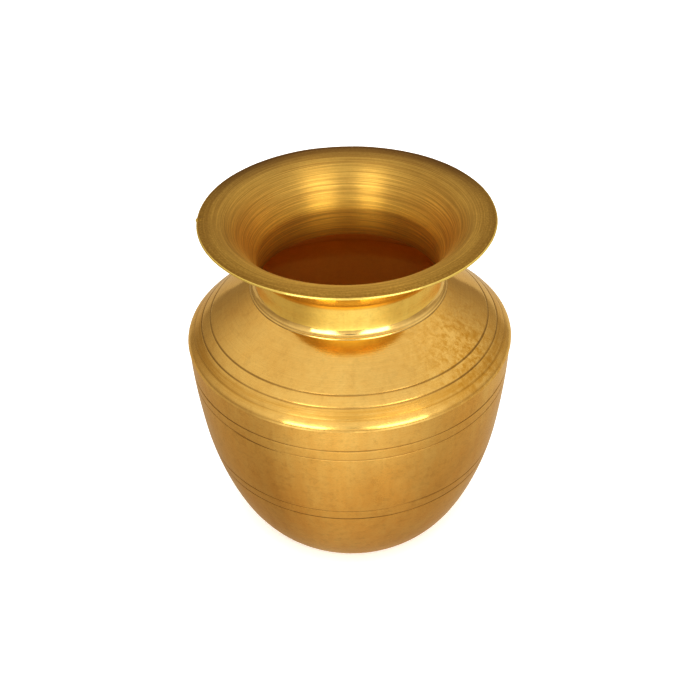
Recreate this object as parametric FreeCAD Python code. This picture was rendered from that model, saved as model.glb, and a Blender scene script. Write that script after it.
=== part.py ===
import FreeCAD, Part
import os

# Brass kalash (water pot): a flared mouth on a neck, brazed into a conical
# shoulder, which laps over the belly bowl at the widest point.
# Millimetres, +Z up, origin at the centre of the flat base.

# Driving dimensions
HEIGHT = 118.0          # base to the rim's outer edge
RIM_R = 47.0            # outer radius of the mouth
WALL = 0.9              # sheet thickness
NECK_R = 29.5           # inner radius of the upright neck
NECK_TOP = 101.0        # height where the neck starts to flare into the mouth
NECK_LOW = 95.6         # height where it turns out towards its foot
FOOT_R = 30.05          # inner radius of the foot
FOOT_Z = 93.1           # height of the foot
HOLE_R = 31.3           # radius of the hole in the shoulder
HOLE_Z = 93.62          # height of the shoulder's outer surface at the hole
BRAZE_R = 32.3          # outer radius of the braze fillet round the neck
BRAZE_UP = 2.0          # how far that fillet climbs the neck above the hole
EDGE_R = 54.1           # radius of the shoulder's lower edge, the widest point
EDGE_Z = 75.0           # height of that edge
STEP = 0.3              # how far the shoulder's edge stands proud of the belly
LAP = 0.8               # how far the belly's rim reaches up inside the shoulder
LAP_GAP = 0.1           # clearance between the two walls of the lap
JOGGLE = 3.0            # height over which the belly's rim steps inward
BASE_R = 29.5           # radius of the flat base
GROOVE_W = 0.36         # width of an engraved line
GROOVE_D = 0.16         # depth of an engraved line

# Engraved lines, as heights above the base
SHOULDER_LINES = (82.8, 80.3)
BELLY_LINES = (67.0, 63.2, 38.1, 34.0)

# Outlines as (radius, height)
# The mouth's inner surface, from the lip down to the foot
MOUTH = [(RIM_R - 0.6, HEIGHT + 0.42), (43.0, HEIGHT + 0.65), (39.2, HEIGHT - 0.2),
         (36.2, HEIGHT - 2.8), (33.2, HEIGHT - 7.1), (31.3, HEIGHT - 10.6),
         (30.15, HEIGHT - 12.8), (29.6, HEIGHT - 14.4), (NECK_R, NECK_TOP),
         (NECK_R, NECK_LOW), (FOOT_R, FOOT_Z)]
# The shoulder's outer surface, from the hole to the lower edge
SHOULDER = [(HOLE_R, HOLE_Z), (46.06, 82.8), (49.07, 80.35), (52.05, 77.6),
            (53.75, 75.95), (EDGE_R, EDGE_Z)]
# The belly's outer surface, from the shoulder's edge to the base
BELLY = [(EDGE_R - STEP, EDGE_Z), (53.55, 66.0), (52.45, 52.0), (50.6, 38.0),
         (47.0, 24.0), (42.3, 12.0), (37.6, 4.3), (34.3, 1.1), (BASE_R, 0.0)]


def vec(point):
    """A point (r, z) in the plane y = 0."""
    return FreeCAD.Vector(point[0], 0.0, point[1])


def line(a, b):
    return Part.makeLine(vec(a), vec(b))


def spline(points, last_dir=None):
    """A smooth curve through (r, z) points."""
    curve = Part.BSplineCurve()
    if last_dir is None:
        curve.interpolate([vec(p) for p in points])
    else:
        first_dir = (points[1][0] - points[0][0], points[1][1] - points[0][1])
        curve.interpolate(Points=[vec(p) for p in points], InitialTangent=vec(first_dir),
                          FinalTangent=vec(last_dir))
    return curve


def offset(curve, distance, count=26):
    """Points of the curve moved sideways; left of the travel is positive."""
    first, last = curve.FirstParameter, curve.LastParameter
    moved = []
    for k in range(count):
        u = first + (last - first) * k / (count - 1)
        at = curve.value(u)
        along = curve.tangent(u)[0]
        moved.append((at.x - distance * along.z, at.z + distance * along.x))
    return moved


def revolve(edges):
    """The solid swept by a closed outline in one turn about the Z axis."""
    face = Part.Face(Part.Wire(Part.__sortEdges__(edges)))
    solid = face.revolve(FreeCAD.Vector(0, 0, 0), FreeCAD.Vector(0, 0, 1), 360)
    if solid.ShapeType != "Solid":
        solid = solid.Solids[0]
    if solid.Volume < 0:
        solid.reverse()
    return solid


def outline(points):
    """Straight edges round a closed outline."""
    return [line(points[k - 1], points[k]) for k in range(len(points))]


def at_height(curve, z):
    """The parameter where a falling outline crosses a height."""
    low, high = curve.FirstParameter, curve.LastParameter
    for _ in range(50):
        mid = (low + high) / 2
        if curve.value(mid).z > z:
            low = mid
        else:
            high = mid
    return low


def engrave(solid, curve, heights):
    """Cut a fine V-shaped line round the outside at each height."""
    for z in heights:
        u = at_height(curve, z)
        at = curve.value(u)
        along = curve.tangent(u)[0]
        out = FreeCAD.Vector(-along.z, 0, along.x)
        above = at - along * (GROOVE_W / 2) + out * 0.05
        below = at + along * (GROOVE_W / 2) + out * 0.05
        deep = at - out * GROOVE_D
        edges = [Part.makeLine(above, below), Part.makeLine(below, deep),
                 Part.makeLine(deep, above)]
        solid = solid.cut(revolve(edges))
    return solid


def mouth_flare():
    """The trumpet mouth and the neck: one spun piece with a rounded lip."""
    inner = spline(MOUTH)
    under = offset(inner, WALL)
    lip = Part.Arc(vec(under[0]), vec((RIM_R, HEIGHT)), vec(MOUTH[0])).toShape()
    seat = (HOLE_R, HOLE_Z - 0.2)
    kept = [p for p in under if p[1] > seat[1] + 1.3]
    outer = spline(kept + [seat])
    foot = (HOLE_R, MOUTH[-1][1])
    return revolve([inner.toShape(), lip, outer.toShape(), line(seat, foot),
                    line(foot, MOUTH[-1])])


def shoulder():
    """The conical shoulder, with an edge that turns down over the belly."""
    outer = spline(SHOULDER, (0.02, -1.0))
    bore = EDGE_R - WALL
    inside = [p for p in offset(outer, -WALL) if HOLE_R + 0.4 < p[0] < bore - 1.3]
    slope = (inside[1][1] - inside[0][1]) / (inside[1][0] - inside[0][0])
    start = (HOLE_R, inside[0][1] + slope * (HOLE_R - inside[0][0]))
    bend = (bore, EDGE_Z + 0.9)
    inner = spline([start] + inside + [bend])
    solid = revolve([outer.toShape(), inner.toShape(), line(SHOULDER[0], start),
                     line(bend, (bore, EDGE_Z)), line((bore, EDGE_Z), SHOULDER[-1])])
    return biggest(engrave(solid, outer, SHOULDER_LINES))


def belly_bowl():
    """The lower shell: a joggled rim inside the shoulder, and a flat base."""
    outer = spline(BELLY, (-1.0, 0.0))
    inside = [p for p in offset(outer, -WALL) if p[0] > BASE_R]
    floor = (BASE_R, WALL)
    inner = spline(inside + [floor], None)
    wall = revolve([outer.toShape(), inner.toShape(), line(BELLY[0], inside[0]),
                    line(floor, BELLY[-1])])
    disc = Part.makeCylinder(BASE_R, WALL)
    rim_r = EDGE_R - WALL - LAP_GAP
    rim = outline([(rim_r - WALL, EDGE_Z - JOGGLE), (rim_r + 0.55, EDGE_Z - JOGGLE),
                   (rim_r + 0.55, EDGE_Z), (rim_r, EDGE_Z), (rim_r, EDGE_Z + LAP),
                   (rim_r - WALL, EDGE_Z + LAP)])
    solid = wall.fuse([disc, revolve(rim)]).removeSplitter()
    return biggest(engrave(solid, outer, BELLY_LINES))


def neck_braze(mouth, cone):
    """The fillet of braze round the neck's foot, on top of the shoulder."""
    slope = (SHOULDER[1][1] - SHOULDER[0][1]) / (SHOULDER[1][0] - SHOULDER[0][0])
    high = (HOLE_R - 1.25, HOLE_Z + BRAZE_UP)
    mid = (HOLE_R - 0.38, HOLE_Z + 0.8)
    low = (BRAZE_R, HOLE_Z + slope * (BRAZE_R - HOLE_R))
    under = (HOLE_R - 0.4, HOLE_Z - 0.35)
    corner = (BRAZE_R, HOLE_Z - 0.8)
    arc = Part.Arc(vec(high), vec(mid), vec(low)).toShape()
    blank = revolve([arc, line(low, corner), line(corner, under), line(under, high)])
    return biggest(blank.cut(mouth).cut(cone))


def biggest(shape):
    """The outermost solid of a cut result."""
    return max(shape.Solids, key=lambda s: s.BoundBox.XMax)


def waist_braze(cone, bowl):
    """The fillet of braze inside, between the belly's rim and the shoulder."""
    wall_r = EDGE_R - 2 * WALL - LAP_GAP
    low = (wall_r, EDGE_Z - JOGGLE + 0.3)
    mid = (wall_r - 1.1, EDGE_Z + 0.3)
    high = (wall_r - 3.0, EDGE_Z + 4.0)
    arc = Part.Arc(vec(low), vec(mid), vec(high)).toShape()
    inside_metal = [high, (wall_r, EDGE_Z + 1.75), low]
    sides = [line(inside_metal[k], inside_metal[k + 1]) for k in range(2)]
    return biggest(revolve([arc] + sides).cut(cone).cut(bowl))


def main():
    os.makedirs("parts", exist_ok=True)
    mouth = mouth_flare()
    cone = shoulder()
    bowl = belly_bowl()
    pieces = {"mouth_flare": mouth, "shoulder": cone, "belly_bowl": bowl,
              "neck_braze": neck_braze(mouth, cone), "waist_braze": waist_braze(cone, bowl)}
    for name in sorted(pieces):
        solid = pieces[name]
        box = solid.BoundBox
        print(name, solid.ShapeType, "valid", solid.isValid(), "solids", len(solid.Solids),
              "cm3 %.3f" % (solid.Volume / 1000), "r %.2f" % box.XMax,
              "z %.2f to %.2f" % (box.ZMin, box.ZMax))
        solid.exportStep("parts/" + name + ".step")


main()
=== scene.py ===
import math

import bpy
from mathutils import Matrix, Vector, noise


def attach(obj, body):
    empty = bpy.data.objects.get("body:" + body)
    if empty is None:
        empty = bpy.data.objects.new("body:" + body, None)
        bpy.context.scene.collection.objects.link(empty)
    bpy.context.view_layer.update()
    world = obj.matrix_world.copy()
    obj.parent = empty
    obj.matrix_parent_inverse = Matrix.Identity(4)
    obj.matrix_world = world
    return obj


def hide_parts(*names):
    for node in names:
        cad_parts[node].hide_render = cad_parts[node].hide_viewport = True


# Brass kalash (water pot): a flared mouth on a neck, brazed into a conical shoulder,
# which laps over the belly bowl. The shapes are in millimetres, as (radius, height), and
# the materials and the stage in metres. +Z is up, the flat base is on z = 0, and the
# camera is on the side of -Y.

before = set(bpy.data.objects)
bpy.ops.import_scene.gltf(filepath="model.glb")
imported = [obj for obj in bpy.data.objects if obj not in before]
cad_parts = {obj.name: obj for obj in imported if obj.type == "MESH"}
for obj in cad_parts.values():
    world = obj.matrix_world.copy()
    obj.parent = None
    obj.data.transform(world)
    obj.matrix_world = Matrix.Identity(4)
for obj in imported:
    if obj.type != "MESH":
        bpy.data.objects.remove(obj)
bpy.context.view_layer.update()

MM = 0.001
SEGMENTS = 480          # steps round the axis in every piece

# Driving dimensions, millimetres
HEIGHT = 118.0          # base to the rim's outer edge
RIM_R = 47.0            # outer radius of the mouth
WALL = 0.9              # sheet thickness
NECK_R = 29.5           # inner radius of the upright neck
NECK_TOP = 101.0        # height where the neck starts to flare into the mouth
NECK_LOW = 95.6         # height where it turns out towards its foot
FOOT_R = 30.05          # inner radius of the foot
FOOT_Z = 93.1           # height of the foot
HOLE_R = 31.3           # radius of the hole in the shoulder
HOLE_Z = 93.62          # height of the shoulder's outer surface at the hole
BRAZE_R = 32.3          # outer radius of the braze fillet round the neck
EDGE_R = 54.1           # radius of the shoulder's lower edge, the widest point
EDGE_Z = 75.0           # height of that edge
STEP = 0.3              # how far the shoulder's edge stands proud of the belly
LAP = 0.8               # how far the belly's rim reaches up inside the shoulder
LAP_GAP = 0.1           # clearance between the two walls of the lap
JOGGLE = 3.0            # height over which the belly's rim steps inward
BASE_R = 29.5           # radius of the flat base
LINE_REACH = 0.42       # half the height of the fine mesh round an engraved line

# Outlines: the mouth's inner surface from the lip down, and the outer surfaces of the
# shoulder and the belly, from the top down
MOUTH = [(RIM_R - 0.6, HEIGHT + 0.42), (43.0, HEIGHT + 0.65), (39.2, HEIGHT - 0.2),
         (36.2, HEIGHT - 2.8), (33.2, HEIGHT - 7.1), (31.3, HEIGHT - 10.6),
         (30.15, HEIGHT - 12.8), (29.6, HEIGHT - 14.4), (NECK_R, NECK_TOP),
         (NECK_R, NECK_LOW), (FOOT_R, FOOT_Z)]
SHOULDER = [(HOLE_R, HOLE_Z), (38.6, 88.2), (46.06, 82.8), (49.07, 80.35), (52.05, 77.6),
            (53.75, 75.95), (EDGE_R, EDGE_Z)]
BELLY = [(EDGE_R - STEP, EDGE_Z), (53.55, 66.0), (52.45, 52.0), (50.6, 38.0),
         (47.0, 24.0), (42.3, 12.0), (37.6, 4.3), (34.3, 1.1), (BASE_R, 0.0)]

# Engraved lines: (height, first angle, last angle, depth, half-width, dirt in front,
# dirt elsewhere), in degrees and millimetres. Angle 0 faces -Y, the camera's side, and
# grows towards +X. A line cut by hand runs out and starts again a little higher or
# lower, so some are two arcs. Some have less dirt in front, on the camera's side.
SHOULDER_LINES = [(82.8, -178, 178, 0.10, 0.13, 0.6, 0.75),
                  (80.3, -170, 186, 0.09, 0.13, 0.5, 0.75),
                  (77.9, -150, 140, 0.02, 0.15, 0.10, 0.25)]
BELLY_LINES = [(67.0, -200, 156, 0.18, 0.18, 0.6, 1.0), (67.45, -212, -190, 0.12, 0.16, 0.6, 0.8),
               (63.1, -27, 326, 0.13, 0.17, 0.25, 0.7), (62.7, -46, -22, 0.12, 0.16, 0.9, 0.9),
               (38.1, -340, 17, 0.13, 0.17, 0.5, 0.9), (38.5, 13, 38, 0.11, 0.16, 0.6, 0.8),
               (34.0, -180, 180, 0.14, 0.17, 0.9, 0.9)]
MOUTH_SCRATCH = (114.4, 185.5, 193.5, 0.05, 0.16, 1.0, 1.0)     # inside, on the far side
NICK_ANGLE = -88.5      # where the rim has a nick
NICK_WIDE = 1.4         # degrees to each side of it
NICK_DEEP = 0.35


# ---------- outlines ----------

def smooth_curve(points, spacing):
    """Points along a smooth curve through the given ones (centripetal Catmull-Rom)."""
    pts = [Vector(p) for p in points]
    pts = [pts[0] * 2 - pts[1]] + pts + [pts[-1] * 2 - pts[-2]]
    out = []
    for k in range(1, len(pts) - 2):
        p0, p1, p2, p3 = pts[k - 1:k + 3]
        t1 = (p1 - p0).length ** 0.5
        t2 = t1 + (p2 - p1).length ** 0.5
        t3 = t2 + (p3 - p2).length ** 0.5
        steps = max(2, round((p2 - p1).length / spacing))
        for s in range(steps):
            t = t1 + (t2 - t1) * s / steps
            a1 = p0 * ((t1 - t) / t1) + p1 * (t / t1)
            a2 = p1 * ((t2 - t) / (t2 - t1)) + p2 * ((t - t1) / (t2 - t1))
            a3 = p2 * ((t3 - t) / (t3 - t2)) + p3 * ((t - t2) / (t3 - t2))
            b1 = a1 * ((t2 - t) / t2) + a2 * (t / t2)
            b2 = a2 * ((t3 - t) / (t3 - t1)) + a3 * ((t - t1) / (t3 - t1))
            out.append(b1 * ((t2 - t) / (t2 - t1)) + b2 * ((t - t1) / (t2 - t1)))
    out.append(Vector(points[-1]))
    return out


def normals(path):
    """Unit normals to the left of the travel."""
    out = []
    for k in range(len(path)):
        along = path[min(k + 1, len(path) - 1)] - path[max(k - 1, 0)]
        out.append(Vector((-along.y, along.x)).normalized())
    return out


def moved(path, distance):
    """The path moved sideways; left of the travel is positive."""
    return [p + n * distance for p, n in zip(path, normals(path))]


def refine(path, heights, reach):
    """The path with extra points at fine steps where a line is engraved."""
    marks = sorted({h + d for h in heights for d in
                    (-reach, -0.6 * reach, -0.3 * reach, 0, 0.3 * reach, 0.6 * reach, reach)},
                   reverse=True)
    out = []
    for a, b in zip(path, path[1:]):
        out.append(a)
        for h in marks:
            if b.y < h - 1e-4 and h + 1e-4 < a.y:
                out.append(a.lerp(b, (a.y - h) / (a.y - b.y)))
    out.append(path[-1])
    return out


# ---------- meshes ----------

def engraved(lines, point, angle):
    """How deep the engraved lines go at a point of the outline, and how dirty they are."""
    deep, dirt = 0.0, 0.0
    turned = abs((angle + 180) % 360 - 180)
    side = min(1.0, max(0.0, (turned - 12) / 40))
    for height, first, last, depth, half, front, elsewhere in lines:
        off = abs(point.y - height) / (half * 1.9)
        turn = (angle - first) % 360
        ends = min(turn, last - first - turn)
        if off >= 1 or ends <= 0:
            continue
        share = min(1.0, ends / 9) * (0.8 + 0.5 * noise.noise(place(angle, height, 2.6)))
        deep = max(deep, depth * share * (1 - off) ** 1.2)
        full = min(1.0, 1.6 * share * (1 - off))
        dirt = max(dirt, full * (front + (elsewhere - front) * side))
    return deep, dirt


def no_lines(point, normal, angle):
    """For pieces with no engraved lines."""
    return 0.0, 0.0


def lathe(name, loop, inside, relief, lines=no_lines, closed=True):
    """Turns an outline about Z. relief(point, normal, angle) moves each vertex out, and
    lines(point, normal, angle) gives how far it is cut back and its dirt, kept as the
    vertex attribute "dirt". The attribute "inside" is 1 on the pot's inner face."""
    verts, faces, dirts = [], [], []
    count = len(loop)
    side = []
    for k in range(count):
        along = loop[(k + 1) % count] - loop[k - 1]
        if not closed and k in (0, count - 1):
            along = loop[min(k + 1, count - 1)] - loop[max(k - 1, 0)]
        side.append(Vector((-along.y, along.x)).normalized())
    for s in range(SEGMENTS):
        angle = 360 * s / SEGMENTS
        turn = math.radians(angle)
        for p, n in zip(loop, side):
            cut, dirt = lines(p, n, angle)
            q = p + n * (relief(p, n, angle) - cut)
            dirts.append(dirt)
            verts.append((q.x * MM * math.sin(turn), -q.x * MM * math.cos(turn), q.y * MM))
    spans = count if closed else count - 1
    for s in range(SEGMENTS):
        a, b = s * count, ((s + 1) % SEGMENTS) * count
        for k in range(spans):
            m = (k + 1) % count
            faces.append((a + k, a + m, b + m, b + k))
    if not closed:
        for k in (0, count - 1):
            ring = [s * count + k for s in range(SEGMENTS)]
            faces.append(ring if k else ring[::-1])
    mesh = bpy.data.meshes.new(name)
    mesh.from_pydata(verts, [], faces)
    mesh.validate()
    mesh.attributes.new("dirt", "FLOAT", "POINT").data.foreach_set("value", dirts)
    mesh.attributes.new("inside", "FLOAT", "POINT").data.foreach_set("value",
                                                                     inside * SEGMENTS)
    obj = bpy.data.objects.new(name, mesh)
    bpy.context.scene.collection.objects.link(obj)
    mesh.polygons.foreach_set("use_smooth", [True] * len(mesh.polygons))
    mesh.set_sharp_from_angle(angle=math.radians(50))
    outward(mesh)
    return obj


def outward(mesh):
    """Turns the faces outward if the closed mesh is inside out."""
    volume = 0.0
    mesh.calc_loop_triangles()
    for tri in mesh.loop_triangles:
        a, b, c = (mesh.vertices[i].co for i in tri.vertices)
        volume += a.dot(b.cross(c))
    if volume < 0:
        mesh.flip_normals()


def place(angle, z, scale):
    """A noise position that runs smoothly round the pot."""
    turn = math.radians(angle)
    return Vector((scale * math.cos(turn), scale * math.sin(turn), z))


def dent(point, angle, size, depth):
    """Broad, shallow unevenness of hand-beaten and turned sheet."""
    spot = place(angle, point.y / size, point.x / size)
    return depth * noise.noise(spot)


def half_round(a, b, bulge, steps=7):
    """Points strictly between a and b on an arc that bulges left of a to b."""
    mid = (a + b) / 2
    across = (b - a) / 2
    out = Vector((-across.y, across.x)) * bulge
    return [mid - across * math.cos(math.pi * k / steps) + out * math.sin(math.pi * k / steps)
            for k in range(1, steps)]


def mouth_flare():
    """The trumpet mouth and the neck, with a rounded lip and a nick in it."""
    inner = smooth_curve(MOUTH, 0.45)
    under = moved(inner, WALL)
    seat = Vector((HOLE_R, HOLE_Z - 0.2))
    under = [p for p in under if p.y > seat.y + 1.3]
    under = under[:-1:3] + [under[-1]]
    foot = Vector((HOLE_R, MOUTH[-1][1]))
    lip = half_round(under[0], inner[0], -1.15)
    loop = inner + [foot, seat] + under[::-1] + lip
    inside = [1.0] * len(inner) + [0.0] * (len(loop) - len(inner))

    def relief(p, n, angle):
        top = p.y > HEIGHT - 1.5 and p.x > RIM_R - 6
        amount = dent(p, angle, 16, 0.08)
        if n.x < 0 or n.y > 0.3:
            along = math.hypot(RIM_R - p.x, HEIGHT - p.y)
            amount += 0.014 * noise.noise(place(angle, along * 1.1, 0.9))
            amount += 0.020 * noise.noise(place(angle, along * 0.35, 0.6))
        if top:
            amount += 0.035 * noise.noise(place(angle, p.y * 2.0 + p.x, 40))
        off = abs((angle - NICK_ANGLE + 180) % 360 - 180) / NICK_WIDE
        if p.x > RIM_R - 1.5 and off < 1:
            amount -= NICK_DEEP * (1 - off)
        return amount

    def scratch(p, n, angle):
        return engraved([MOUTH_SCRATCH], p, angle) if n.x < 0 else (0.0, 0.0)

    return lathe("mouth_flare_shell", loop, inside, relief, scratch)


def shoulder():
    """The conical shoulder, with an edge that turns down over the belly."""
    outer = smooth_curve(SHOULDER, 0.8)
    bore = EDGE_R - WALL
    inner = [p for p in moved(outer, -WALL) if HOLE_R + 0.4 < p.x < bore - 1.3]
    inner = inner[::2]
    inner = ([Vector((HOLE_R, inner[0].y + 0.6))] + inner
             + [Vector((bore, EDGE_Z + 0.9)), Vector((bore, EDGE_Z))])
    edge = refine(outer, [line[0] for line in SHOULDER_LINES], LINE_REACH)
    loop = edge + inner[::-1]
    inside = [0.0] * len(edge) + [1.0] * len(inner)

    def relief(p, n, angle):
        amount = dent(p, angle, 22, 0.08) + dent(p, angle, 7, 0.012)
        near_edge = max(0.0, 1 - abs(p.y - EDGE_Z - 1.2) / 2.2)
        amount += near_edge * 0.05 * noise.noise(place(angle, 0.0, 14))
        return amount

    def lines(p, n, angle):
        return engraved(SHOULDER_LINES, p, angle) if n.x > 0.3 else (0.0, 0.0)

    return lathe("shoulder_shell", loop, inside, relief, lines)


def belly_bowl():
    """The lower shell: a stepped rim inside the shoulder, and a flat base."""
    outer = smooth_curve(BELLY, 1.0)
    inner = [p for p in moved(outer, -WALL) if p.x > BASE_R]
    inner = inner[::2]
    rim_r = EDGE_R - WALL - LAP_GAP
    rim = [Vector((rim_r, EDGE_Z)), Vector((rim_r, EDGE_Z + LAP)),
           Vector((rim_r - WALL, EDGE_Z + LAP)), Vector((rim_r - WALL, EDGE_Z - JOGGLE))]
    inner = [p for p in inner if p.y < EDGE_Z - JOGGLE - 0.2]
    edge = refine(outer, [line[0] for line in BELLY_LINES], LINE_REACH)
    floor_out = [Vector((BASE_R * f, 0)) for f in (0.92, 0.75, 0.55, 0.35, 0.18, 0.06)]
    floor_in = [Vector((BASE_R * f, WALL)) for f in (0.02, 0.1, 0.3, 0.5, 0.7, 0.85, 1.0)]
    path = edge + floor_out
    back = rim + inner + floor_in[::-1]
    # From the inner floor's centre up over the rim and down to the base's centre, with
    # a small disc on each end to close it on the axis
    loop = back[::-1] + path
    inside = [1.0] * len(back) + [0.0] * len(path)

    def relief(p, n, angle):
        if p.y < 1.2:
            return 0.0
        keep = min(1.0, (p.y - 1.2) / 8)
        amount = dent(p, angle, 26, 0.12) * keep + dent(p, angle, 8, 0.02) * keep
        return amount

    def lines(p, n, angle):
        return engraved(BELLY_LINES, p, angle) if n.x > 0.3 else (0.0, 0.0)

    return lathe("belly_bowl_shell", loop, inside, relief, lines, closed=False)


def neck_braze():
    """The fillet of braze round the neck's foot, with dirt along its seams."""
    slope = (SHOULDER[1][1] - SHOULDER[0][1]) / (SHOULDER[1][0] - SHOULDER[0][0])
    high = Vector((HOLE_R - 0.95, HOLE_Z + 2.0))
    low = Vector((BRAZE_R, HOLE_Z + slope * (BRAZE_R - HOLE_R) + 0.03))
    skin = [high, Vector((HOLE_R - 0.60, HOLE_Z + 1.25)), Vector((HOLE_R - 0.15, HOLE_Z + 0.55)),
            Vector((HOLE_R + 0.35, HOLE_Z + 0.06)), Vector((HOLE_R + 0.62, HOLE_Z - 0.2)),
            Vector((HOLE_R + 0.74, HOLE_Z - 0.28)), low]
    skin = smooth_curve(skin, 0.2)
    under = [Vector((BRAZE_R - 0.1, low.y - 0.25)), Vector((HOLE_R - 0.1, HOLE_Z - 0.45)),
             Vector((HOLE_R - 0.9, HOLE_Z + 0.6))]
    loop = skin + under

    def relief(p, n, angle):
        return 0.03 * noise.noise(place(angle, p.y * 0.6, 12)) + dent(p, angle, 16, 0.05)

    def seams(p, n, angle):
        edge = min(abs(p.y - low.y), abs(p.y - high.y), abs(p.y - (HOLE_Z + 0.1)) + 0.15)
        uneven = 0.8 + 0.5 * noise.noise(place(angle, p.y * 0.2, 2.0))
        return 0.0, max(0.0, 1 - edge / 0.4) * uneven * 0.8

    return lathe("neck_braze_fillet", loop, [0.0] * len(loop), relief, seams)


def waist_braze():
    """The fillet of braze inside, between the belly's rim and the shoulder."""
    wall_r = EDGE_R - 2 * WALL - LAP_GAP
    low = Vector((wall_r - 0.02, EDGE_Z - JOGGLE + 0.3))
    mid = Vector((wall_r - 1.1, EDGE_Z + 0.3))
    high = Vector((wall_r - 2.9, EDGE_Z + 3.75))
    skin = smooth_curve([low, mid, high], 0.3)
    back = [Vector((wall_r - 1.2, EDGE_Z + 2.2)), Vector((wall_r - 0.02, EDGE_Z + 1.3))]
    loop = skin + back

    def relief(p, n, angle):
        if n.x > -0.3:
            return 0.0
        return 0.12 * noise.noise(place(angle, p.y * 0.3, 16))

    return lathe("waist_braze_fillet", loop, [1.0] * len(loop), relief)


# ---------- materials ----------

class Nodes:
    """A material's node tree, built from short calls."""

    def __init__(self, name):
        self.material = bpy.data.materials.new(name)
        self.material.use_nodes = True
        self.tree = self.material.node_tree
        self.tree.nodes.clear()
        self.out = self.add("ShaderNodeOutputMaterial")
        self.shader = self.add("ShaderNodeBsdfPrincipled")
        self.link(self.shader.outputs[0], self.out.inputs[0])

    def add(self, kind, **settings):
        node = self.tree.nodes.new(kind)
        for key, value in settings.items():
            setattr(node, key, value)
        return node

    def link(self, a, b):
        self.tree.links.new(a, b)

    def put(self, socket, value):
        """A number, colour or output into an input."""
        if isinstance(value, bpy.types.NodeSocket):
            self.link(value, socket)
        else:
            socket.default_value = value

    def math(self, kind, a, b=0.0, clamp=False):
        node = self.add("ShaderNodeMath", operation=kind, use_clamp=clamp)
        self.put(node.inputs[0], a)
        self.put(node.inputs[1], b)
        return node.outputs[0]

    def place(self):
        """The object's own coordinates, in metres."""
        return self.add("ShaderNodeTexCoord").outputs["Object"]

    def scaled(self, vector, scale):
        node = self.add("ShaderNodeVectorMath", operation="MULTIPLY")
        self.link(vector, node.inputs[0])
        node.inputs[1].default_value = scale
        return node.outputs[0]

    def noise(self, vector, scale, detail=3.0, rough=0.5, lift=0.0):
        node = self.add("ShaderNodeTexNoise")
        self.link(vector, node.inputs["Vector"])
        node.inputs["Scale"].default_value = scale
        node.inputs["Detail"].default_value = detail
        node.inputs["Roughness"].default_value = rough
        node.inputs["Distortion"].default_value = lift
        return node.outputs["Fac"]

    def ramp(self, value, stops):
        """A grey ramp through (position, grey) stops."""
        node = self.add("ShaderNodeValToRGB")
        self.link(value, node.inputs[0])
        bar = node.color_ramp.elements
        while len(bar) < len(stops):
            bar.new(0.5)
        for item, (at, grey) in zip(bar, stops):
            item.position = at
            item.color = (grey, grey, grey, 1)
        return node.outputs[0]

    def mix(self, amount, a, b, blend="MIX"):
        node = self.add("ShaderNodeMix", data_type="RGBA", blend_type=blend)
        self.put(node.inputs["Factor"], amount)
        self.put(node.inputs["A"], a if isinstance(a, bpy.types.NodeSocket) else (*a, 1))
        self.put(node.inputs["B"], b if isinstance(b, bpy.types.NodeSocket) else (*b, 1))
        return node.outputs["Result"]

    def polar(self):
        """The distance from the pot's axis and the height, with the place itself."""
        at = self.place()
        apart = self.add("ShaderNodeSeparateXYZ")
        self.link(at, apart.inputs[0])
        x, y, z = apart.outputs
        squares = self.math("ADD", self.math("MULTIPLY", x, x), self.math("MULTIPLY", y, y))
        return at, x, y, z, self.math("SQRT", squares)

    def turned_place(self, around, across, lean):
        """Coordinates for marks that are fine across and long round the pot. lean says
        how far the height counts beside the radius, so that it grows along the outline."""
        at, x, y, z, radius = self.polar()
        join = self.add("ShaderNodeCombineXYZ")
        self.link(self.math("MULTIPLY", x, around), join.inputs[0])
        self.link(self.math("MULTIPLY", y, around), join.inputs[1])
        along = self.math("ADD", radius, self.math("MULTIPLY", z, lean))
        self.link(self.math("MULTIPLY", along, across), join.inputs[2])
        return join.outputs[0]

    def attribute(self, name):
        """A number stored on the mesh's vertices."""
        return self.add("ShaderNodeAttribute", attribute_name=name).outputs["Fac"]

    def bump(self, height, distance, strength=1.0, after=None):
        node = self.add("ShaderNodeBump")
        node.inputs["Strength"].default_value = strength
        node.inputs["Distance"].default_value = distance
        self.link(height, node.inputs["Height"])
        if after is not None:
            self.link(after, node.inputs["Normal"])
        return node.outputs[0]


def smooth_step(n, value, low, high, start, end):
    """Goes smoothly from start to end while the value goes from low to high."""
    node = n.add("ShaderNodeMapRange", interpolation_type="SMOOTHSTEP")
    n.link(value, node.inputs["Value"])
    for socket, number in zip(("From Min", "From Max", "To Min", "To Max"),
                              (low, high, start, end)):
        node.inputs[socket].default_value = number
    return node.outputs[0]


def shade(colour, red, green, blue):
    """The colour with each channel multiplied."""
    return (colour[0] * red, colour[1] * green, colour[2] * blue)


BROWN = (0.44, 0.24, 0.06)
ORANGE = (0.62, 0.33, 0.04)
DIRT = shade(BROWN, 0.40, 0.34, 0.25)


def funnel(n, z, colour):
    """The mouth's inner colour, with painted light that makes it richer and brighter low in the
    funnel and painted shade that makes it dark in the neck, and how low in the funnel a
    place is, from 0 to 1."""
    deep = smooth_step(n, z, 0.097, 0.112, 1.0, 0.0)
    # Painted light: the colour is made brighter and warmer low in the funnel.
    inner = n.mix(deep, colour, shade(colour, 1.10, 1.04, 0.62))
    # Painted shade: the inside of the neck is darkened.
    neck = smooth_step(n, z, 0.094, 0.103, 1.0, 0.0)
    return n.mix(neck, inner, shade(colour, 0.82, 0.66, 0.24)), deep


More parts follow.
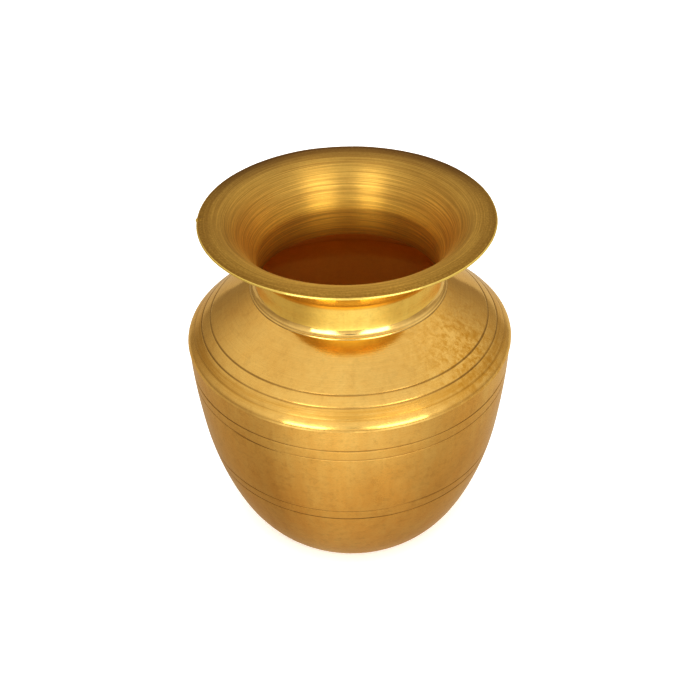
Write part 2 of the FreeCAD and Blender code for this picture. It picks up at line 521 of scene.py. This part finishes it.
def mottled(n, base, within, blotchy, mottle, streak, grain):
    """The colour with its mottle, upright streaks and fine grain."""
    wander = n.math("SUBTRACT", blotchy, n.math("MULTIPLY", within, 0.7 * blotchy))
    tone = n.ramp(mottle, [(0.32, 0.0), (0.68, 1.0)])
    base = n.mix(n.math("MULTIPLY", tone, wander), base, (0.95, 0.82, 0.60), "MULTIPLY")
    wander = n.math("MULTIPLY", wander, 0.6)
    tone = n.ramp(streak, [(0.35, 0.0), (0.65, 1.0)])
    base = n.mix(n.math("MULTIPLY", tone, wander), base, (0.93, 0.82, 0.66), "MULTIPLY")
    tone = n.ramp(grain, [(0.35, 0.0), (0.65, 0.22)])
    return n.mix(tone, base, (0.86, 0.78, 0.66), "MULTIPLY")


def lip_band(n, at, y, radius, within, deep, amount, colour, base, rough):
    """A dull, specked band near the mouth's edge, with painted shade that makes it darkest on
    the far side, and a softer shine low in the funnel."""
    edge = n.ramp(n.math("MULTIPLY", radius, 10), [(0.34, 0.0), (0.40, 0.30), (0.47, 1.0)])
    speck = n.ramp(n.noise(at, 1400, 2, 0.7), [(0.35, 1.0), (0.65, 0.55)])
    band = n.math("MULTIPLY", n.math("MULTIPLY", edge, speck), amount)
    band = n.math("MULTIPLY", band, within)
    base = n.mix(band, base, shade(colour, 0.42, 0.34, 0.22))
    # Painted shade: the band is darkened more on the far side, away from the camera.
    far = n.math("MULTIPLY", smooth_step(n, y, 0.0, 0.036, 0.0, 1.0), edge)
    base = n.mix(far, base, (0.40, 0.33, 0.45), "MULTIPLY")
    rough = n.math("ADD", rough, n.math("MULTIPLY", edge, 0.10))
    soft = n.math("MULTIPLY", n.math("MULTIPLY", deep, within), 0.10)
    return base, n.math("ADD", rough, soft)


def shoulder_edge(n, radius, lean, amount, base, rough):
    """A duller shine towards the widest point, and brown smudges in a ring near it."""
    rough = n.math("ADD", rough, smooth_step(n, radius, 0.040, 0.053, 0.0, amount))
    ring = n.math("MULTIPLY", smooth_step(n, radius, 0.0488, 0.0500, 0.0, 1.0),
                  smooth_step(n, radius, 0.0518, 0.0532, 1.0, 0.0))
    smudge = n.ramp(n.noise(n.turned_place(30, 900, lean), 1.0, 4, 0.7),
                    [(0.40, 0.15), (0.60, 1.0)])
    smudge = n.math("MULTIPLY", n.math("MULTIPLY", ring, smudge), 0.5)
    return n.mix(smudge, base, ORANGE), rough


def stained_place(n, at, centre, size, amount, base, rough):
    """A blotchy orange stain about a centre."""
    apart = n.add("ShaderNodeVectorMath", operation="DISTANCE")
    n.link(at, apart.inputs[0])
    apart.inputs[1].default_value = centre
    near = n.ramp(n.math("DIVIDE", apart.outputs["Value"], size), [(0.2, 1.0), (1.0, 0.0)])
    blotch = n.ramp(n.noise(at, 420, 6, 0.75, 0.3), [(0.42, 0.0), (0.62, 1.0)])
    blotch = n.math("MULTIPLY", n.math("MULTIPLY", near, blotch), amount)
    return n.mix(blotch, base, ORANGE), n.math("ADD", rough, n.math("MULTIPLY", blotch, 0.12))


def brass(name, outside, inside, stretch, lean, stain=0.2, blotchy=0.35, lip=0.0,
          patch=None, dull_edge=0.0, painted_upper_light=None):
    """Worked brass: mottled colour, turning marks round the axis, brown stains and dirt
    in the engraved lines. outside and inside are (colour, roughness, marks) of the two
    faces. stretch draws the highlights out across the turning marks, and lean is for
    turned_place. stain and blotchy are how much the colour browns and wanders, lip is
    for funnel and lip_band, which paint light and shade in the mouth, patch for
    stained_place and dull_edge for shoulder_edge. The colour given for higher up is a
    painted light: a lighter colour on the outer face towards the top, with the two
    heights it fades between."""
    n = Nodes(name)
    at, x, y, z, radius = n.polar()
    within = n.attribute("inside")

    def either(k):
        """The outer face's value or the inner face's."""
        return n.math("ADD", n.math("MULTIPLY", within, inside[k] - outside[k]), outside[k])

    mottle = n.noise(at, 60, 6, 0.68)
    cloud = n.noise(n.scaled(at, (1, 1, 0.45)), 24, 4, 0.55, 0.4)
    streak = n.noise(n.scaled(at, (1, 1, 0.06)), 330, 3, 0.55)
    fine = n.noise(n.turned_place(40, 2400, lean), 1.0, 3, 0.65)
    broad = n.noise(n.turned_place(14, 1300, lean), 1.0, 3, 0.6)
    grain = n.noise(at, 1300, 3, 0.6)

    # Inside the mouth the colour carries the painted light and painted shade of funnel.
    inner, deep = funnel(n, z, inside[0]) if lip else (inside[0], 0.0)
    outer = outside[0]
    # Painted light: the outer face is made lighter towards the top.
    if painted_upper_light:
        colour, low, high = painted_upper_light
        outer = n.mix(smooth_step(n, z, low, high, 0.0, 1.0), outer, colour)
    base = n.mix(within, outer, inner)
    base = mottled(n, base, within, blotchy, mottle, streak, grain)
    marks = either(2)
    for wave, low, high, amount in ((fine, 0.38, 0.62, 0.34), (broad, 0.36, 0.60, 0.15)):
        lines = n.ramp(wave, [(low, 1.0), (high, 0.0)])
        worn = n.math("MULTIPLY", lines, n.math("MULTIPLY", marks, amount))
        base = n.mix(worn, base, BROWN)
    spots = n.ramp(cloud, [(0.50, 0.0), (0.75, 1.0)])
    flecks = n.ramp(n.noise(at, 380, 4, 0.7), [(0.50, 0.0), (0.68, 1.0)])
    stained = n.math("SUBTRACT", stain, n.math("MULTIPLY", within, 0.7 * stain))
    base = n.mix(n.math("MULTIPLY", spots, stained), base, BROWN)
    base = n.mix(n.math("MULTIPLY", flecks, n.math("MULTIPLY", stained, 0.7)), base, BROWN)
    rough = n.math("MULTIPLY", n.math("SUBTRACT", mottle, 0.5), 0.12)
    rough = n.math("ADD", either(1), rough)
    rough = n.math("ADD", rough, n.math("MULTIPLY", spots, 0.10 * stain))
    if lip:
        base, rough = lip_band(n, at, y, radius, within, deep, lip, inside[0], base, rough)
    if dull_edge:
        base, rough = shoulder_edge(n, radius, lean, dull_edge, base, rough)
    if patch:
        base, rough = stained_place(n, at, *patch, base, rough)
    dirt = n.math("MULTIPLY", n.attribute("dirt"), 1.0, clamp=True)
    base = n.mix(n.math("MULTIPLY", dirt, 0.9), base, DIRT)
    rough = n.math("ADD", rough, n.math("MULTIPLY", dirt, 0.4), clamp=True)
    n.link(base, n.shader.inputs["Base Color"])
    n.link(rough, n.shader.inputs["Roughness"])

    rings = n.math("MULTIPLY", n.math("SUBTRACT", fine, 0.5), marks)
    height = n.bump(rings, 0.000010)
    rings = n.math("MULTIPLY", n.math("SUBTRACT", broad, 0.5), marks)
    rings = n.math("MULTIPLY", rings, n.math("ADD", n.math("MULTIPLY", deep, 1.2), 1.0))
    height = n.bump(rings, 0.000019, after=height)
    height = n.bump(grain, 0.000004 + 0.000014 * lip, after=height)
    n.link(height, n.shader.inputs["Normal"])
    n.shader.inputs["Metallic"].default_value = 1.0
    n.shader.inputs["Specular Tint"].default_value = (1.0, 0.93, 0.78, 1)
    tangent = n.add("ShaderNodeTangent", direction_type="RADIAL", axis="Z")
    n.link(tangent.outputs[0], n.shader.inputs["Tangent"])
    n.shader.inputs["Anisotropic"].default_value = stretch
    n.shader.inputs["Anisotropic Rotation"].default_value = 0.25
    return n


# The inside below the neck: (colour, roughness, marks)
INNER = ((0.98, 0.67, 0.12), 0.50, 0.1)

# The mouth's lighter colour higher up, on the flare and the lip, is a painted highlight.
mouth_look = brass("mouth_brass", ((0.91, 0.67, 0.20), 0.13, 0.15),
                   ((0.90, 0.64, 0.19), 0.44, 1.6), 0.8, 1.3, 0.20, 0.4, lip=0.95,
                   painted_upper_light=((0.98, 0.80, 0.28), 0.103, 0.110))
shoulder_look = brass("shoulder_brass", ((0.89, 0.62, 0.22), 0.09, 0.25), INNER, 0.4, -1.3,
                      0.20, patch=((0.036, -0.026, 0.083), 0.026, 0.9), dull_edge=0.13)
# The belly's lighter colour higher up is painted light, lighter at the top.
belly_look = brass("belly_brass", ((0.82, 0.515, 0.155), 0.24, 0.12), INNER, 0.5, 1.3,
                   0.32, 0.7, painted_upper_light=((0.87, 0.59, 0.20), 0.035, 0.070))
braze_look = brass("braze_metal", ((0.92, 0.68, 0.28), 0.15, 0.3), INNER, 0.3, -1.3, 0.15)
inner_look = brass("inner_braze", INNER, INNER, 0.2, 1.3, 0.25)


# ---------- pieces ----------

PIECES = [(mouth_flare, mouth_look, "mouth_flare", "mouth_brass"),
          (neck_braze, braze_look, "neck_braze", "braze_metal"),
          (shoulder, shoulder_look, "shoulder", "shoulder_brass"),
          (waist_braze, inner_look, "waist_braze", "inner_braze"),
          (belly_bowl, belly_look, "belly_bowl", "belly_brass")]

for make, look, node, slot in PIECES:
    piece = make()
    piece.data.materials.append(look.material)
    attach(piece, "root")
    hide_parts(node)


# ---------- stage ----------

POT = (0, 0, 0.07)      # what the soft panels face
TENT_R = 2.0
TENT_FLOOR_Z = 0.0004   # just above the white floor

# How bright the parts of the light tent are, beside a white of 1
TENT_LOW, TENT_TOP, TENT_FRONT, TENT_RIGHT = 0.48, 0.98, 0.28, 0.12
FLOOR_SIDE, FLOOR_FRONT, FLOOR_RIGHT = 0.74, 1.28, 0.16
FLOOR_SHADE_NEAR, FLOOR_FAR = 0.82, 0.3
WARM, COOL = (1.0, 0.89, 0.74), (0.98, 1.05, 1.18)
LENS_R = 0.03


def softbox(name, width, height, turn, rise, far, radiance):
    """A light panel of an even brightness, turned about the pot from the camera's side
    (degrees, towards +X), at a rise above the floor's plane and a distance in metres."""
    data = bpy.data.lights.new(name, "AREA")
    data.shape = "RECTANGLE"
    data.size, data.size_y = width, height
    data.energy = radiance * math.pi * width * height
    a, e = math.radians(turn), math.radians(rise)
    away = Vector((math.sin(a) * math.cos(e), -math.cos(a) * math.cos(e), math.sin(e)))
    lamp = bpy.data.objects.new(name, data)
    lamp.location = Vector(POT) + away * far
    lamp.rotation_euler = away.to_track_quat("Z", "Y").to_euler()
    lamp.visible_camera = False
    bpy.context.scene.collection.objects.link(lamp)


def stage_mesh(name, verts, faces, look):
    """A mesh that belongs to the studio and not to the pot."""
    mesh = bpy.data.meshes.new(name)
    mesh.from_pydata(verts, [], faces)
    mesh.materials.append(look)
    obj = bpy.data.objects.new(name, mesh)
    bpy.context.scene.collection.objects.link(obj)
    return obj


def for_gloss_only(obj):
    """The polished metal reflects this object, and nothing else sees it."""
    obj.visible_camera = False
    obj.visible_diffuse = False
    obj.visible_transmission = False
    obj.visible_volume_scatter = False
    obj.visible_shadow = False


def glow(name):
    """An emission material, its node tree helper and its lamp."""
    n = Nodes(name)
    lamp = n.add("ShaderNodeEmission")
    n.link(lamp.outputs[0], n.out.inputs[0])
    return n, lamp


def light_up(n, lamp, strength):
    """The lamp's strength; the dimmer parts of the tent are also the warmer ones."""
    n.link(strength, lamp.inputs["Strength"])
    white = n.mix(smooth_step(n, strength, 0.35, 1.05, 0.0, 1.0), WARM, (1, 1, 1))
    pale = n.mix(smooth_step(n, strength, 0.95, 1.30, 0.0, 1.0), white, COOL)
    n.link(pale, lamp.inputs["Color"])


def cap(name, circles, look):
    """A mesh from a point on the axis out through circles of (radius, height)."""
    around = 48
    verts = [(0, 0, circles[0][1])]
    for r, z in circles[1:]:
        for s in range(around):
            a = 2 * math.pi * s / around
            verts.append((r * math.cos(a), r * math.sin(a), z))
    faces = [(0, 1 + s, 1 + (s + 1) % around) for s in range(around)]
    for s in range(around):
        t = (s + 1) % around
        for k in range(len(circles) - 2):
            a, b = 1 + k * around, 1 + (k + 1) * around
            faces.append((a + s, b + s, b + t, a + t))
    for_gloss_only(stage_mesh(name, verts, faces, look))


def tent_dome():
    """The light tent that the metal mirrors, brighter above and in front."""
    n, lamp = glow("tent_dome")
    at, x, y, z, radius = n.polar()
    above = smooth_step(n, n.math("DIVIDE", z, TENT_R), 0.05, 0.75, TENT_LOW, TENT_TOP)
    front = smooth_step(n, n.math("DIVIDE", y, -TENT_R), 0.05, 0.88, 0.0, TENT_FRONT)
    right = smooth_step(n, n.math("DIVIDE", x, TENT_R), 0.35, 0.90, 0.0, TENT_RIGHT)
    light_up(n, lamp, n.math("ADD", n.math("ADD", above, front), right))
    steps = 12
    rises = [math.pi / 2 * (1 - k / steps) for k in range(steps + 1)]
    cap("tent_dome", [(TENT_R * math.cos(a), TENT_R * math.sin(a)) for a in rises], n.material)


def tent_floor():
    """The tent's floor, brighter in front and dimmer close to the pot, where a painted shadow
    of the pot darkens its glow.
    """
    n, lamp = glow("tent_floor")
    at, x, y, z, radius = n.polar()
    spread = n.math("ADD", radius, 0.02)
    towards = n.math("DIVIDE", n.math("MULTIPLY", y, -1.0), spread)
    lit = smooth_step(n, towards, 0.50, 0.95, FLOOR_SIDE, FLOOR_FRONT)
    # Painted shadow: the floor's glow is dimmed close to the pot.
    near = smooth_step(n, radius, 0.045, 0.20, FLOOR_SHADE_NEAR, 1.0)
    right = smooth_step(n, n.math("DIVIDE", x, spread), 0.0, 0.9, 0.0, FLOOR_RIGHT)
    far = n.math("MULTIPLY", smooth_step(n, radius, 0.18, 0.30, 0.0, FLOOR_FAR),
                 smooth_step(n, towards, 0.4, 0.9, 0.0, 1.0))
    near = n.math("MULTIPLY", near, n.math("ADD", far, 1.0))
    light_up(n, lamp, n.math("MULTIPLY", n.math("ADD", lit, right), near))
    radii = (0.0, 0.03, 0.06, 0.1, 0.2, 0.4, 0.8, TENT_R)
    cap("tent_floor", [(r, TENT_FLOOR_Z) for r in radii], n.material)


tent_dome()
tent_floor()

paper = Nodes("floor")
paper.shader.inputs["Base Color"].default_value = (0.93, 0.93, 0.93, 1)
paper.shader.inputs["Roughness"].default_value = 0.9
paper.shader.inputs["Emission Color"].default_value = (1, 1, 1, 1)
paper.shader.inputs["Emission Strength"].default_value = 0.40
stage_mesh("floor", [(-3, -3, 0), (3, -3, 0), (3, 3, 0), (-3, 3, 0)], [(0, 1, 2, 3)],
           paper.material)

world = bpy.data.worlds.new("studio")
world.use_nodes = True
world.node_tree.nodes["Background"].inputs["Color"].default_value = (1, 1, 1, 1)
world.node_tree.nodes["Background"].inputs["Strength"].default_value = 1.0
bpy.context.scene.world = world

softbox("front_right", 0.31, 0.26, 30, 27, 0.60, 3.1)
softbox("front_left", 0.25, 0.26, -28, 27, 0.60, 3.1)


# ---------- camera ----------

RIM = Vector((0, 0, HEIGHT * MM))
DISTANCE = 7.15 * RIM_R * MM
ELEVATION = math.radians(30.0)
DOWN = math.radians(7.23)
ROLL = math.radians(1.34)

back = Vector((0, -math.cos(ELEVATION), math.sin(ELEVATION)))
side = Vector((1, 0, 0))
upward = back.cross(side)
turn = Matrix((side, upward, back)).transposed()
turn = turn @ Matrix.Rotation(-DOWN, 3, "X") @ Matrix.Rotation(-ROLL, 3, "Z")
camera = bpy.data.objects.new("camera", bpy.data.cameras.new("camera"))
camera.data.lens = 54.8
camera.data.sensor_width = 36
camera.data.clip_start = 0.01
camera.location = RIM + back * DISTANCE
camera.rotation_euler = turn.to_euler()
bpy.context.scene.collection.objects.link(camera)
bpy.context.scene.camera = camera
bpy.context.scene.view_settings.view_transform = "Standard"
bpy.context.scene.view_settings.gamma = 0.714
bpy.context.scene.cycles.max_bounces = 16
bpy.context.scene.cycles.glossy_bounces = 14

# The camera's dark front, which the metal mirrors
barrel, lamp = glow("lens_front")
lamp.inputs["Strength"].default_value = 0.30
corners = 24
ring = [2 * math.pi * k / corners for k in range(corners)]
ring = [Vector((LENS_R * math.cos(a), LENS_R * math.sin(a), 0.02)) for a in ring]
for_gloss_only(stage_mesh("lens_front", [camera.location + turn @ p for p in ring],
                          [tuple(range(corners))], barrel.material))
